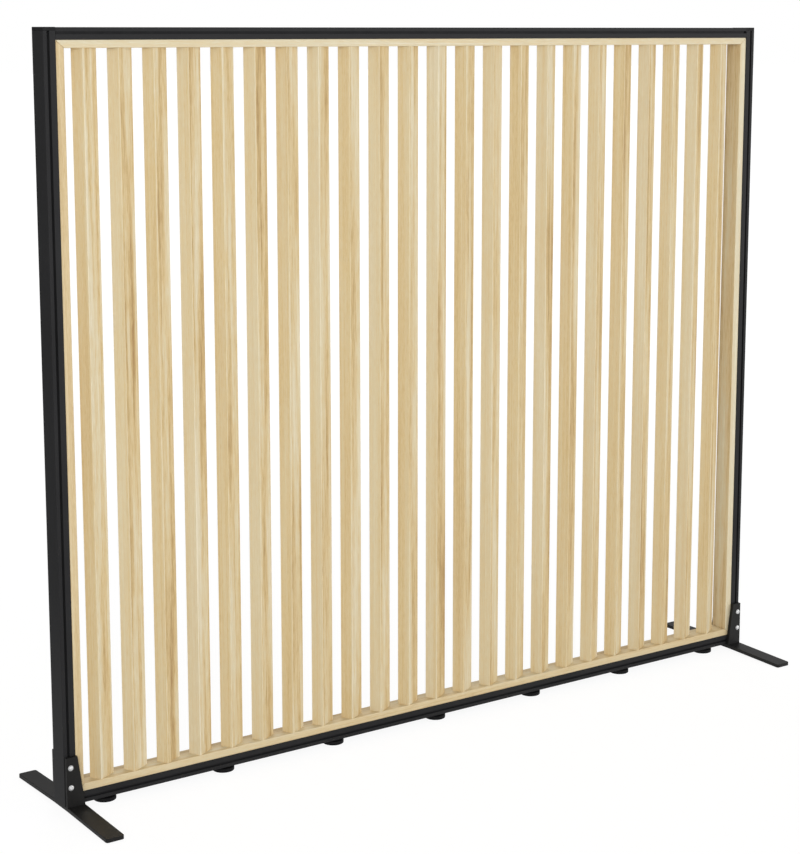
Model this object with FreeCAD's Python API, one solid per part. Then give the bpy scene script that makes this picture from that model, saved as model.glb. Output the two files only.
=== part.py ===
import FreeCAD, Part
import math
import os

from FreeCAD import Vector

# Free-standing slatted screen: a black aluminium frame with a timber liner and turned timber slats,
# held up by two flat steel feet and steadied by a row of levelling glides.
# Millimetres. X runs along the screen, Y from front to back, Z up. The origin is on the floor, under
# the middle of the screen.

# ---- the screen as a whole -----------------------------------------------------------------------
screen_width = 1800.0
frame_height = 1490.0          # underside of the bottom rail to the top of the top rail
frame_depth = 48.0

# ---- black profile of the posts and rails --------------------------------------------------------
post_face = 25.0               # width of a post, seen from the front
rail_face = 23.0               # height of a rail, seen from the front
profile_wall = 2.2
profile_edge_radius = 0.8
slot_mouth = 5.2
slot_centre = 10.2             # outer face of the profile to the middle of its slot
slot_lip = 2.2
slot_cavity_width = 9.4
slot_cavity_depth = 4.8
slot_web = 2.4                 # wall between a slot's cavity and the hollow
tongue_width = 10.0
tongue_height = 4.0
tongue_end_gap = 6.0

# ---- post caps and corner keys -------------------------------------------------------------------
cap_thickness = 7.0
cap_proud = 0.5                # how far a cap stands above the top rail
cap_plug_depth = 3.0
cap_plug_clearance = 0.2
cap_to_key_gap = 0.25
key_clearance = 0.05
key_post_leg = 60.0
key_rail_leg = 50.0

# ---- timber liner --------------------------------------------------------------------------------
jamb_thickness = 17.0
sill_thickness = 15.0          # the head is a sill turned over
liner_depth = 45.0
liner_groove_clearance = 0.2   # each side of the tongue, and at its tip
biscuit_length = 10.0          # across the mitre
biscuit_width = 8.0            # along the mitre
biscuit_thickness = 3.0
biscuit_offset = 13.0          # middle of the liner to the middle of a biscuit
biscuit_clearance = 0.1

# ---- slats ---------------------------------------------------------------------------------------
slat_count = 23
slat_width = 44.0
slat_thickness = 27.0
slat_angle = 30.0              # degrees from the line of the screen
slat_arris_radius = 1.2
slat_end_margin = 49.25        # inner face of a jamb to the middle of the nearest slat
slat_screw_radius = 2.2
slat_screw_head_radius = 4.2
slat_screw_head_depth = 2.6
slat_screw_grip = 30.0         # how far a screw reaches into the slat
dowel_radius = 3.0
dowel_offset = 13.0            # middle of the slat to the dowel, along the slat's width
dowel_in_liner = 8.0
dowel_in_slat = 15.0

# ---- feet ----------------------------------------------------------------------------------------
foot_length = 398.0
foot_width = 38.0
foot_thickness = 8.0
foot_rise = 4.5                # how far the middle of the bar stands off the floor
foot_corner_radius = 5.0
foot_inset = 1.4               # end of the screen to the outer edge of the foot
plate_thickness = 8.0
plate_height = 100.0
plate_top_width = 24.0

# ---- foot screws and slot nuts -------------------------------------------------------------------
foot_screw_radius = 2.5
foot_screw_clearance = 0.25
foot_screw_length = 14.0
foot_screw_first = 39.2        # top of the foot bar to the lower screw
foot_screw_pitch = 40.0
foot_screws_per_plate = 2
screw_flange_radius = 5.5
screw_flange_thickness = 0.9
screw_dome_radius = 4.5
screw_dome_height = 2.2
screw_crown_radius = 3.0       # flat top of the dome
screw_socket_across_flats = 3.0
screw_socket_depth = 1.8
slot_nut_width = 9.0
slot_nut_thickness = 4.2
slot_nut_length = 14.0

# ---- levelling glides ----------------------------------------------------------------------------
glide_count = 7
glide_end_inset = 96.5         # end of the screen to the middle of the nearest glide
glide_gap = 4.0                # top of the pad to the underside of the bottom rail, as it stands
glide_up_travel = 3.5
pad_radius = 22.5
pad_bottom_fillet = 1.0
pad_top_fillet = 1.5
pad_floor_thickness = 3.0      # plastic under the end of the stud
stud_radius = 4.0
stud_bore_clearance = 0.05
stud_hole_clearance = 0.3
stud_headroom = 0.3            # end of the stud to the top of the rail's hollow, fully screwed in
glide_nut_width = 13.0
glide_nut_height = 6.5

# ---- places worked out from the sizes above ------------------------------------------------------
half_width = screen_width / 2
half_depth = frame_depth / 2
base_z = foot_rise + foot_thickness
top_z = base_z + frame_height
middle_z = (base_z + top_z) / 2
post_inner_x = half_width - post_face
sill_bottom_z = base_z + rail_face
sill_top_z = sill_bottom_z + sill_thickness
head_bottom_z = top_z - rail_face - sill_thickness
jamb_inner_x = post_inner_x - jamb_thickness
rail_length = 2 * post_inner_x
post_length = frame_height + cap_proud - cap_thickness
cavity_depth = slot_lip + slot_cavity_depth
hollow_half = half_depth - cavity_depth - slot_web
groove_half = tongue_width / 2 + liner_groove_clearance
groove_depth = tongue_height + liner_groove_clearance
groove_floor_z = sill_bottom_z + groove_depth
slat_pitch = 2 * (jamb_inner_x - slat_end_margin) / (slat_count - 1)
slat_places = [(i - (slat_count - 1) / 2) * slat_pitch for i in range(slat_count)]
glide_pitch = (screen_width - 2 * glide_end_inset) / (glide_count - 1)
glide_places = [(i - (glide_count - 1) / 2) * glide_pitch for i in range(glide_count)]
plate_face_y = half_depth + plate_thickness
foot_screw_x = -half_width + slot_centre
foot_screw_heights = [
    base_z + foot_screw_first + i * foot_screw_pitch for i in range(foot_screws_per_plate)
]
pad_height = base_z - glide_gap
rail_hollow_bottom_z = base_z + profile_wall
stud_top_z = sill_bottom_z - profile_wall - glide_up_travel - stud_headroom

X_AXIS = Vector(1, 0, 0)
Y_AXIS = Vector(0, 1, 0)
Z_AXIS = Vector(0, 0, 1)
ORIGIN = Vector(0, 0, 0)
OVERCUT = 1.0                  # how far a cutting tool runs past an open face


# ---- plain shapes --------------------------------------------------------------------------------
def block(low, high):
    """Box between two opposite corners."""
    corner = Vector(*low)
    size = Vector(*high) - corner
    return Part.makeBox(size.x, size.y, size.z, corner)


def cylinder(radius, start, end):
    """Round bar between two points."""
    first = Vector(*start)
    run = Vector(*end) - first
    return Part.makeCylinder(radius, run.Length, first, run)


def cone(start_radius, end_radius, start, end):
    """Tapered round bar between two points."""
    first = Vector(*start)
    run = Vector(*end) - first
    return Part.makeCone(start_radius, end_radius, run.Length, first, run)


def prism(points, run):
    """Straight extrusion of a closed outline."""
    corners = [Vector(*point) for point in points]
    outline = Part.makePolygon(corners + corners[:1])
    return Part.Face(outline).extrude(run)


def straight_edges(shape, direction):
    """Straight edges of a shape that run along a direction."""
    found = []
    for edge in shape.Edges:
        if len(edge.Vertexes) != 2:
            continue
        run = edge.Vertexes[1].Point - edge.Vertexes[0].Point
        if run.cross(direction).Length < 1e-6:
            found.append(edge)
    return found


def round_edges(shape, level):
    """Whole circles of a shape that lie flat at a height."""
    closed = [edge for edge in shape.Edges if len(edge.Vertexes) == 1]
    return [edge for edge in closed if abs(edge.CenterOfMass.z - level) < 1e-6]


def mirror_x(shape):
    """The same piece at the other end of the screen."""
    return shape.mirror(ORIGIN, X_AXIS)


def mirror_y(shape):
    """The same piece on the other side of the screen."""
    return shape.mirror(ORIGIN, Y_AXIS)


def mirror_height(shape):
    """The same piece at the other end of the frame's height."""
    return shape.mirror(Vector(0, 0, middle_z), Z_AXIS)


def moved(shape, x=0.0, y=0.0, z=0.0):
    """Copy of a shape at another place."""
    copy = shape.copy()
    copy.translate(Vector(x, y, z))
    return copy


def four_corners(shape):
    """A bottom left piece and its copies at the other three corners of the frame."""
    left = [shape, mirror_height(shape)]
    return left + [mirror_x(piece) for piece in left]


# ---- black frame ---------------------------------------------------------------------------------
def profile(face, length, tongue_start, tongue_end):
    """Hollow profile along Z, outer face at x = 0, with a slot front and back and a tongue inside."""
    body = block((0, -half_depth, 0), (face, half_depth, length))
    body = body.makeFillet(profile_edge_radius, straight_edges(body, Z_AXIS))
    hollow = block(
        (profile_wall, -hollow_half, -OVERCUT),
        (face - profile_wall, hollow_half, length + OVERCUT),
    )
    tools = [hollow]
    for side in (-1, 1):
        mouth = block(
            (slot_centre - slot_mouth / 2, half_depth - slot_lip, -OVERCUT),
            (slot_centre + slot_mouth / 2, half_depth + OVERCUT, length + OVERCUT),
        )
        cavity = block(
            (slot_centre - slot_cavity_width / 2, half_depth - cavity_depth, -OVERCUT),
            (slot_centre + slot_cavity_width / 2, half_depth - slot_lip, length + OVERCUT),
        )
        slot = mouth.fuse(cavity)
        tools.append(slot if side > 0 else mirror_y(slot))
    tongue = block(
        (face, -tongue_width / 2, tongue_start),
        (face + tongue_height, tongue_width / 2, tongue_end),
    )
    return body.cut(tools).fuse(tongue).removeSplitter()


def left_post():
    """Post at the left end, open at both ends so that the corner keys slide in."""
    tongue_margin = rail_face + tongue_end_gap
    post = profile(post_face, post_length, tongue_margin, frame_height - tongue_margin)
    notch_height = rail_face - profile_wall
    bottom_notch = block(
        (post_face - profile_wall - OVERCUT, -hollow_half, -OVERCUT),
        (post_face + OVERCUT, hollow_half, notch_height),
    )
    top_notch = block(
        (post_face - profile_wall - OVERCUT, -hollow_half, frame_height - notch_height),
        (post_face + OVERCUT, hollow_half, frame_height + OVERCUT),
    )
    return moved(post.cut([bottom_notch, top_notch]), x=-half_width, z=base_z)


def lower_rail():
    """Rail between the posts, outer face down, without the holes for the glides."""
    rail = profile(rail_face, rail_length, tongue_end_gap, rail_length - tongue_end_gap)
    # The profile's length turns on to X and its outer face turns down.
    turn = FreeCAD.Rotation(Z_AXIS, Y_AXIS * -1, X_AXIS, "ZXY")
    rail.Placement = FreeCAD.Placement(Vector(-post_inner_x, 0, base_z), turn)
    return rail


def bottom_rail():
    """Lower rail with a hole for each glide's stud."""
    radius = stud_radius + stud_hole_clearance
    low = base_z - OVERCUT
    high = rail_hollow_bottom_z + OVERCUT
    return lower_rail().cut([cylinder(radius, (x, 0, low), (x, 0, high)) for x in glide_places])


def left_cap():
    """Cap that closes the left post, with a plug in the hollow."""
    body = block((0, -half_depth, post_length), (post_face, half_depth, frame_height + cap_proud))
    body = body.makeFillet(profile_edge_radius, straight_edges(body, Z_AXIS))
    inset = profile_wall + cap_plug_clearance
    plug_half = hollow_half - cap_plug_clearance
    plug = block(
        (inset, -plug_half, post_length - cap_plug_depth),
        (post_face - inset, plug_half, post_length),
    )
    return moved(body.fuse(plug).removeSplitter(), x=-half_width, z=base_z)


def corner_key():
    """L-shaped key in the bottom left corner, one leg in the post and one in the rail."""
    inset = profile_wall + key_clearance
    key_half = hollow_half - key_clearance
    low = cap_thickness - cap_proud + cap_plug_depth + cap_to_key_gap
    high = rail_face - profile_wall - key_clearance
    post_leg = block((inset, -key_half, low), (post_face - inset, key_half, low + key_post_leg))
    rail_leg = block((inset, -key_half, low), (post_face + key_rail_leg, key_half, high))
    return moved(post_leg.fuse(rail_leg).removeSplitter(), x=-half_width, z=base_z)


# ---- timber liner --------------------------------------------------------------------------------
def biscuit(side, clearance):
    """Flat biscuit across the bottom left mitre, or its pocket when a clearance is given."""
    length = biscuit_length + 2 * clearance
    width = biscuit_width + 2 * clearance
    thickness = biscuit_thickness + 2 * clearance
    body = block((-width / 2, -thickness / 2, -length / 2), (width / 2, thickness / 2, length / 2))
    # The biscuit's width lies along the mitre, from the outer corner to the inner one.
    mitre_angle = math.degrees(math.atan2(sill_thickness, jamb_thickness))
    body.rotate(ORIGIN, Y_AXIS, -mitre_angle)
    middle_x = -post_inner_x + jamb_thickness / 2
    return moved(body, middle_x, side * biscuit_offset, sill_bottom_z + sill_thickness / 2)


def biscuit_set(clearance):
    """All the biscuits of the liner, or all their pockets."""
    found = []
    for side in (-1, 1):
        found += four_corners(biscuit(side, clearance))
    return found


def left_jamb():
    """Left upright of the liner, mitred at both ends, grooved for the post's tongue."""
    half = liner_depth / 2
    outline = [
        (-post_inner_x, -half, sill_bottom_z),
        (-jamb_inner_x, -half, sill_top_z),
        (-jamb_inner_x, -half, head_bottom_z),
        (-post_inner_x, -half, top_z - rail_face),
    ]
    body = prism(outline, Y_AXIS * liner_depth)
    groove = block(
        (-post_inner_x - OVERCUT, -groove_half, base_z),
        (-post_inner_x + groove_depth, groove_half, top_z),
    )
    return body.cut([groove] + biscuit_set(biscuit_clearance))


def sill():
    """Lower member of the liner, with the holes that take the slats' screws and dowels."""
    half = liner_depth / 2
    outline = [
        (-post_inner_x, -half, sill_bottom_z),
        (post_inner_x, -half, sill_bottom_z),
        (jamb_inner_x, -half, sill_top_z),
        (-jamb_inner_x, -half, sill_top_z),
    ]
    body = prism(outline, Y_AXIS * liner_depth)
    groove = block(
        (-half_width, -groove_half, sill_bottom_z - OVERCUT),
        (half_width, groove_half, groove_floor_z),
    )
    fixings = [moved(piece, x=x) for x in slat_places for piece in (slat_screw(), slat_dowel())]
    return body.cut([groove] + fixings + biscuit_set(biscuit_clearance))


# ---- slats and what holds them -------------------------------------------------------------------
def slat_screw():
    """Countersunk screw up through the sill into the slat over the origin."""
    neck_z = groove_floor_z + slat_screw_head_depth
    head = cone(slat_screw_head_radius, slat_screw_radius, (0, 0, groove_floor_z), (0, 0, neck_z))
    shank = cylinder(slat_screw_radius, (0, 0, neck_z), (0, 0, sill_top_z + slat_screw_grip))
    return head.fuse(shank).removeSplitter()


def slat_dowel():
    """Dowel beside the screw, which keeps the slat over the origin from turning."""
    angle = math.radians(slat_angle)
    x = dowel_offset * math.cos(angle)
    y = dowel_offset * math.sin(angle)
    low = sill_top_z - dowel_in_liner
    high = sill_top_z + dowel_in_slat
    return cylinder(dowel_radius, (x, y, low), (x, y, high))


def slat():
    """Slat over the origin, turned to its angle, with its fixing holes at both ends."""
    reach = slat_width / 2
    half_thickness = slat_thickness / 2
    body = block((-reach, -half_thickness, sill_top_z), (reach, half_thickness, head_bottom_z))
    body = body.makeFillet(slat_arris_radius, straight_edges(body, Z_AXIS))
    body.rotate(ORIGIN, Z_AXIS, slat_angle)
    lower = [slat_screw(), slat_dowel()]
    return body.cut(lower + [mirror_height(piece) for piece in lower])


def at_both_ends_of_each_slat(piece):
    """Copies of a fixing at the foot and the head of each slat."""
    pair = (piece, mirror_height(piece))
    return [moved(one, x=x) for x in slat_places for one in pair]


# ---- feet ----------------------------------------------------------------------------------------
def left_foot_bar():
    """Flat bar across the screen, level under the post and falling a little to each tip."""
    left = -half_width + foot_inset
    tip = foot_length / 2
    outline = [
        (left, -tip, 0),
        (left, -plate_face_y, foot_rise),
        (left, plate_face_y, foot_rise),
        (left, tip, 0),
        (left, tip, foot_thickness),
        (left, plate_face_y, base_z),
        (left, -plate_face_y, base_z),
        (left, -tip, foot_thickness),
    ]
    bar = prism(outline, X_AXIS * foot_width)
    return bar.makeFillet(foot_corner_radius, straight_edges(bar, Z_AXIS))


def left_front_plate():
    """Tapered plate that stands on the left foot bar in front of the post."""
    left = -half_width + foot_inset
    high = base_z + plate_height
    outline = [
        (left, -plate_face_y, base_z),
        (left + foot_width, -plate_face_y, base_z),
        (left + plate_top_width, -plate_face_y, high),
        (left, -plate_face_y, high),
    ]
    plate = prism(outline, Y_AXIS * plate_thickness)
    radius = foot_screw_radius + foot_screw_clearance
    front = -plate_face_y - OVERCUT
    back = -half_depth + OVERCUT
    holes = [cylinder(radius, (foot_screw_x, front, z), (foot_screw_x, back, z)) for z in foot_screw_heights]
    return plate.cut(holes)


def foot_screw():
    """Flanged button-head screw along Y, its head's underside at the origin and its head to the front."""
    crown_y = -screw_flange_thickness - screw_dome_height
    flange = cylinder(screw_flange_radius, (0, 0, 0), (0, -screw_flange_thickness, 0))
    dome = cone(screw_dome_radius, screw_crown_radius, (0, -screw_flange_thickness, 0), (0, crown_y, 0))
    corner_radius = screw_socket_across_flats / math.sqrt(3)
    corners = []
    for turn in range(0, 360, 60):
        x = corner_radius * math.cos(math.radians(turn))
        z = corner_radius * math.sin(math.radians(turn))
        corners.append((x, crown_y - OVERCUT, z))
    socket = prism(corners, Y_AXIS * (OVERCUT + screw_socket_depth))
    shank = cylinder(foot_screw_radius, (0, 0, 0), (0, foot_screw_length, 0))
    return flange.fuse(dome).cut(socket).fuse(shank)


def slot_nut():
    """Nut behind the slot's lips on the front of the screen, on a screw through the origin along Y."""
    front = -half_depth + slot_lip
    body = block(
        (-slot_nut_width / 2, front, -slot_nut_length / 2),
        (slot_nut_width / 2, front + slot_nut_thickness, slot_nut_length / 2),
    )
    bore = cylinder(foot_screw_radius, (0, front - OVERCUT, 0), (0, front + slot_nut_thickness + OVERCUT, 0))
    return body.cut(bore)


def at_each_foot_screw(front_piece):
    """Copies of a piece at each foot screw: front and back of both posts."""
    left_front = [moved(front_piece, x=foot_screw_x, z=z) for z in foot_screw_heights]
    left = left_front + [mirror_y(piece) for piece in left_front]
    return left + [mirror_x(piece) for piece in left]


# ---- levelling glides ----------------------------------------------------------------------------
def glide_pad():
    """Round plastic pad under the origin of a glide, with a blind hole for its stud."""
    pad = cylinder(pad_radius, (0, 0, 0), (0, 0, pad_height))
    for level, radius in ((0, pad_bottom_fillet), (pad_height, pad_top_fillet)):
        pad = pad.makeFillet(radius, round_edges(pad, level))
    return pad.cut(cylinder(stud_radius, (0, 0, pad_floor_thickness), (0, 0, pad_height + OVERCUT)))


def glide_stud():
    """Threaded stud from the pad up into the bottom rail."""
    return cylinder(stud_radius, (0, 0, pad_floor_thickness), (0, 0, stud_top_z))


def glide_nut():
    """Square nut on the floor of the bottom rail's hollow."""
    half = glide_nut_width / 2
    high = rail_hollow_bottom_z + glide_nut_height
    body = block((-half, -half, rail_hollow_bottom_z), (half, half, high))
    bore_radius = stud_radius + stud_bore_clearance
    return body.cut(cylinder(bore_radius, (0, 0, base_z), (0, 0, high + OVERCUT)))


# ---- the whole screen ----------------------------------------------------------------------------
def build():
    """Every node of the screen, by name."""
    post = left_post()
    cap = left_cap()
    jamb = left_jamb()
    lower_liner = sill()
    bar = left_foot_bar()
    front_plate = left_front_plate()
    nodes = {
        "post_left": post,
        "post_right": mirror_x(post),
        "bottom_rail": bottom_rail(),
        "top_rail": mirror_height(lower_rail()),
        "post_cap_left": cap,
        "post_cap_right": mirror_x(cap),
        "corner_keys": Part.makeCompound(four_corners(corner_key())),
        "liner_jamb_left": jamb,
        "liner_jamb_right": mirror_x(jamb),
        "liner_sill": lower_liner,
        "liner_head": mirror_height(lower_liner),
        "liner_biscuits": Part.makeCompound(biscuit_set(0.0)),
        "slat_screws": Part.makeCompound(at_both_ends_of_each_slat(slat_screw())),
        "slat_dowels": Part.makeCompound(at_both_ends_of_each_slat(slat_dowel())),
        "foot_bar_left": bar,
        "foot_bar_right": mirror_x(bar),
        "foot_plate_left_front": front_plate,
        "foot_plate_left_back": mirror_y(front_plate),
        "foot_plate_right_front": mirror_x(front_plate),
        "foot_plate_right_back": mirror_y(mirror_x(front_plate)),
        "foot_screws": Part.makeCompound(at_each_foot_screw(moved(foot_screw(), y=-plate_face_y))),
        "slot_nuts": Part.makeCompound(at_each_foot_screw(slot_nut())),
        "glide_nuts": Part.makeCompound([moved(glide_nut(), x=x) for x in glide_places]),
    }
    one_slat = slat()
    for number, x in enumerate(slat_places, start=1):
        nodes[f"slat_{number:02d}"] = moved(one_slat, x=x)
    pad = glide_pad()
    stud = glide_stud()
    for number, x in enumerate(glide_places, start=1):
        nodes[f"glide_pad_{number}"] = moved(pad, x=x)
        nodes[f"glide_stud_{number}"] = moved(stud, x=x)
    return nodes


def main():
    """Write one STEP file for each node."""
    os.makedirs("parts", exist_ok=True)
    for name, shape in build().items():
        if not shape.isValid():
            raise ValueError(f"{name} is not a valid shape")
        shape.exportStep(f"parts/{name}.step")


main()
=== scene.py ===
"""Looks of a free-standing slatted screen, built around its CAD frame.

Metres, in the frame's own axes: X along the screen, Y from front to back, Z up from the floor.
"""

import logging
import math
from dataclasses import dataclass
from enum import Enum
from typing import Any, Mapping, Optional, Sequence, Union

import bmesh
import bpy
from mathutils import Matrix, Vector


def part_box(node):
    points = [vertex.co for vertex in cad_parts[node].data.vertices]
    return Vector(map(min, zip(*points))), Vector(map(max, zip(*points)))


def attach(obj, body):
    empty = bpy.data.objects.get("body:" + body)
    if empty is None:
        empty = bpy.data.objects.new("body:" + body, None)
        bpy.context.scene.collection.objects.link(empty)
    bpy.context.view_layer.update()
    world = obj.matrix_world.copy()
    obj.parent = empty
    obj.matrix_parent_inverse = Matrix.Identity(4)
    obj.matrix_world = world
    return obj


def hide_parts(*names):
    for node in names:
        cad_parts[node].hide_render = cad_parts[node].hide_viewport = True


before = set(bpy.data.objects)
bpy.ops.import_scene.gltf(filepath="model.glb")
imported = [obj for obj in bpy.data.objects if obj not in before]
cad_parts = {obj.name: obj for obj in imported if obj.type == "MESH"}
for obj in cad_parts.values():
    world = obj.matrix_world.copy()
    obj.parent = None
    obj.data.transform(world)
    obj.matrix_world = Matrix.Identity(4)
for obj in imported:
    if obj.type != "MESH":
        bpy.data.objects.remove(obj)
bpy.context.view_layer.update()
LOG = logging.getLogger("slatted_screen")
SCREEN = "screen"

Colour = tuple[float, float, float, float]
Point = tuple[float, float, float]
SocketKey = Union[int, str]


def srgb(red: float, green: float, blue: float) -> Colour:
    """Turns a colour as it is seen on a screen into the linear one that shaders take.

    Args:
        red: Red, from 0 to 255.
        green: Green, from 0 to 255.
        blue: Blue, from 0 to 255.

    Returns:
        The linear colour, with full opacity.
    """
    linear = []
    for value in (red, green, blue):
        share = value / 255
        linear.append(share / 12.92 if share <= 0.04045 else ((share + 0.055) / 1.055) ** 2.4)
    return (linear[0], linear[1], linear[2], 1.0)


class Side(Enum):
    """Front or back of the screen, as the sign of Y."""

    FRONT = -1
    BACK = 1


class End(Enum):
    """Left or right end of the screen, as the sign of X."""

    LEFT = -1
    RIGHT = 1


# ---- node trees ----------------------------------------------------------------------------------
class Graph:
    """A node tree, to which every node is added in the same way."""

    def __init__(self, tree: bpy.types.NodeTree) -> None:
        """Keeps the tree that nodes go into."""
        self.tree = tree

    def add(
        self,
        kind: str,
        settings: Optional[Mapping[str, Any]] = None,
        inputs: Optional[Mapping[SocketKey, Any]] = None,
    ) -> bpy.types.Node:
        """Adds one node.

        Args:
            kind: The node's type.
            settings: The node's own properties, which are set first. "stops" fills a colour ramp.
            inputs: Values, sockets or signals, by the input's name or place.

        Returns:
            The new node.
        """
        node = self.tree.nodes.new(kind)
        for name, value in (settings or {}).items():
            if name == "stops":
                self._fill_ramp(node.color_ramp, value)
            else:
                setattr(node, name, value)
        for key, value in (inputs or {}).items():
            self.feed(node.inputs[key], value)
        return node

    def feed(self, socket: bpy.types.NodeSocket, value: Any) -> None:
        """Links a socket or signal to an input, or sets the input to a plain value.

        Args:
            socket: The input.
            value: What goes into it.
        """
        if isinstance(value, Signal):
            self.tree.links.new(value.socket, socket)
        elif isinstance(value, bpy.types.NodeSocket):
            self.tree.links.new(value, socket)
        else:
            socket.default_value = value

    @staticmethod
    def _fill_ramp(ramp: bpy.types.ColorRamp, stops: Sequence[tuple[float, Colour]]) -> None:
        """Gives a colour ramp its stops, from first to last.

        Args:
            ramp: The ramp.
            stops: Each stop's place from 0 to 1, with its colour.
        """
        while len(ramp.elements) < len(stops):
            ramp.elements.new(1.0)
        for element, (place, colour) in zip(ramp.elements, stops):
            element.position = place
            element.color = colour

    def signal(self, socket: bpy.types.NodeSocket) -> "Signal":
        """Wraps a socket so that Python arithmetic works on it."""
        return Signal(self, socket)

    def out(
        self,
        output: SocketKey,
        kind: str,
        settings: Optional[Mapping[str, Any]] = None,
        inputs: Optional[Mapping[SocketKey, Any]] = None,
    ) -> bpy.types.NodeSocket:
        """Adds one node and returns the output of that name or place."""
        return self.add(kind, settings, inputs).outputs[output]

    def vector(self, operation: str, *terms: Any, output: str = "Vector") -> bpy.types.NodeSocket:
        """Adds a Vector Math node and returns its vector, or the output that is named."""
        inputs = dict(enumerate(terms))
        return self.out(output, "ShaderNodeVectorMath", {"operation": operation}, inputs)

    def combine(self, x: Any, y: Any, z: Any) -> bpy.types.NodeSocket:
        """Makes one vector of three numbers."""
        return self.out("Vector", "ShaderNodeCombineXYZ", None, {"X": x, "Y": y, "Z": z})


class Signal:
    """A number on a socket. Arithmetic on it adds Math nodes to its graph."""

    def __init__(self, graph: Graph, socket: bpy.types.NodeSocket) -> None:
        """Keeps the socket and the graph it is in."""
        self.graph = graph
        self.socket = socket

    def _math(self, operation: str, first: Any, second: Any) -> "Signal":
        """Adds a Math node on two numbers or signals."""
        node = self.graph.add("ShaderNodeMath", {"operation": operation}, {0: first, 1: second})
        return Signal(self.graph, node.outputs[0])

    def __add__(self, other: Any) -> "Signal":
        """Sum."""
        return self._math("ADD", self, other)

    def __radd__(self, other: Any) -> "Signal":
        """Sum, the signal second."""
        return self._math("ADD", other, self)

    def __sub__(self, other: Any) -> "Signal":
        """Difference."""
        return self._math("SUBTRACT", self, other)

    def __rsub__(self, other: Any) -> "Signal":
        """Difference, the signal second."""
        return self._math("SUBTRACT", other, self)

    def __mul__(self, other: Any) -> "Signal":
        """Product."""
        return self._math("MULTIPLY", self, other)

    def __rmul__(self, other: Any) -> "Signal":
        """Product, the signal second."""
        return self._math("MULTIPLY", other, self)

    def __truediv__(self, other: Any) -> "Signal":
        """Quotient."""
        return self._math("DIVIDE", self, other)

    def __rtruediv__(self, other: Any) -> "Signal":
        """Quotient, the signal second."""
        return self._math("DIVIDE", other, self)

    def __mod__(self, other: Any) -> "Signal":
        """Remainder of a division."""
        return self._math("MODULO", self, other)

    def __rmod__(self, other: Any) -> "Signal":
        """Remainder of a division, the signal second."""
        return self._math("MODULO", other, self)

    def __gt__(self, other: Any) -> "Signal":
        """One where the signal is the larger, otherwise zero."""
        return self._math("GREATER_THAN", self, other)

    def __lt__(self, other: Any) -> "Signal":
        """One where the signal is the smaller, otherwise zero."""
        return self._math("LESS_THAN", self, other)

    def __abs__(self) -> "Signal":
        """Size without its sign."""
        return self._math("ABSOLUTE", self, 0.0)

    def limited(self) -> "Signal":
        """The signal held between 0 and 1."""
        return self._math("MINIMUM", self._math("MAXIMUM", self, 0.0), 1.0)

    def larger(self, other: Any) -> "Signal":
        """The larger of two signals."""
        return self._math("MAXIMUM", self, other)


class ShaderGraph(Graph):
    """A material's or the world's node tree."""

    @classmethod
    def of(cls, holder: Union[bpy.types.Material, bpy.types.World]) -> "ShaderGraph":
        """Gives a material or the world an empty node tree.

        Args:
            holder: The material or the world.

        Returns:
            The empty graph.
        """
        holder.use_nodes = True
        holder.node_tree.nodes.clear()
        return cls(holder.node_tree)

    def object_place(self) -> bpy.types.NodeSocket:
        """Place on the piece, in metres."""
        return self.out("Object", "ShaderNodeTexCoord")

    def attribute(self, name: str, output: str = "Fac") -> bpy.types.NodeSocket:
        """Reads an attribute of the piece's mesh."""
        return self.out(output, "ShaderNodeAttribute", {"attribute_name": name})

    def noise(
        self,
        place: Any,
        stretch: Union[float, Point],
        detail: float = 2.0,
        roughness: float = 0.5,
    ) -> Signal:
        """Adds smooth noise.

        Args:
            place: Where on the piece, in metres.
            stretch: Features per metre, along each axis or along all three.
            detail: Number of finer layers.
            roughness: Strength of the finer layers.

        Returns:
            The noise, which lies about zero.
        """
        along = (stretch,) * 3 if isinstance(stretch, float) else stretch
        inputs = {
            "Vector": self.vector("MULTIPLY", place, along),
            "Scale": 1.0,
            "Detail": detail,
            "Roughness": roughness,
        }
        settings = {"noise_dimensions": "3D"}
        return self.signal(self.out("Fac", "ShaderNodeTexNoise", settings, inputs)) - 0.5

    def bump(self, height: Signal, strength: float, distance: float) -> bpy.types.NodeSocket:
        """Turns a height into a normal."""
        inputs = {"Strength": strength, "Distance": distance, "Height": height}
        return self.out("Normal", "ShaderNodeBump", None, inputs)

    def blend(self, share: Any, first: Any, second: Any) -> bpy.types.NodeSocket:
        """Mixes two colours by a share from 0 to 1."""
        inputs = {0: share, 6: first, 7: second}
        return self.out(2, "ShaderNodeMix", {"data_type": "RGBA"}, inputs)

    def cover(self, shader: bpy.types.Node, colour: Any, roughness: Any, normal: Any) -> None:
        """Feeds a shader with what changes over the surface."""
        for name, value in (("Base Color", colour), ("Roughness", roughness), ("Normal", normal)):
            self.feed(shader.inputs[name], value)


# ---- finishes ------------------------------------------------------------------------------------
@dataclass(frozen=True)
class Finish:
    """A surface finish, with the record's slot that it stands for."""

    name: str
    slot: str

    def material(self) -> bpy.types.Material:
        """Makes the material once, and finds it again after that.

        Returns:
            The material.
        """
        made = bpy.data.materials.get(self.name)
        if made is not None:
            return made
        made = bpy.data.materials.new(self.name)
        graph = ShaderGraph.of(made)
        shader = graph.add("ShaderNodeBsdfPrincipled")
        self.shade(graph, shader)
        graph.add("ShaderNodeOutputMaterial", None, {"Surface": shader.outputs["BSDF"]})
        return made

    def shade(self, graph: ShaderGraph, shader: bpy.types.Node) -> None:
        """Feeds the shader. Each kind of finish has its own."""
        raise NotImplementedError


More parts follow.
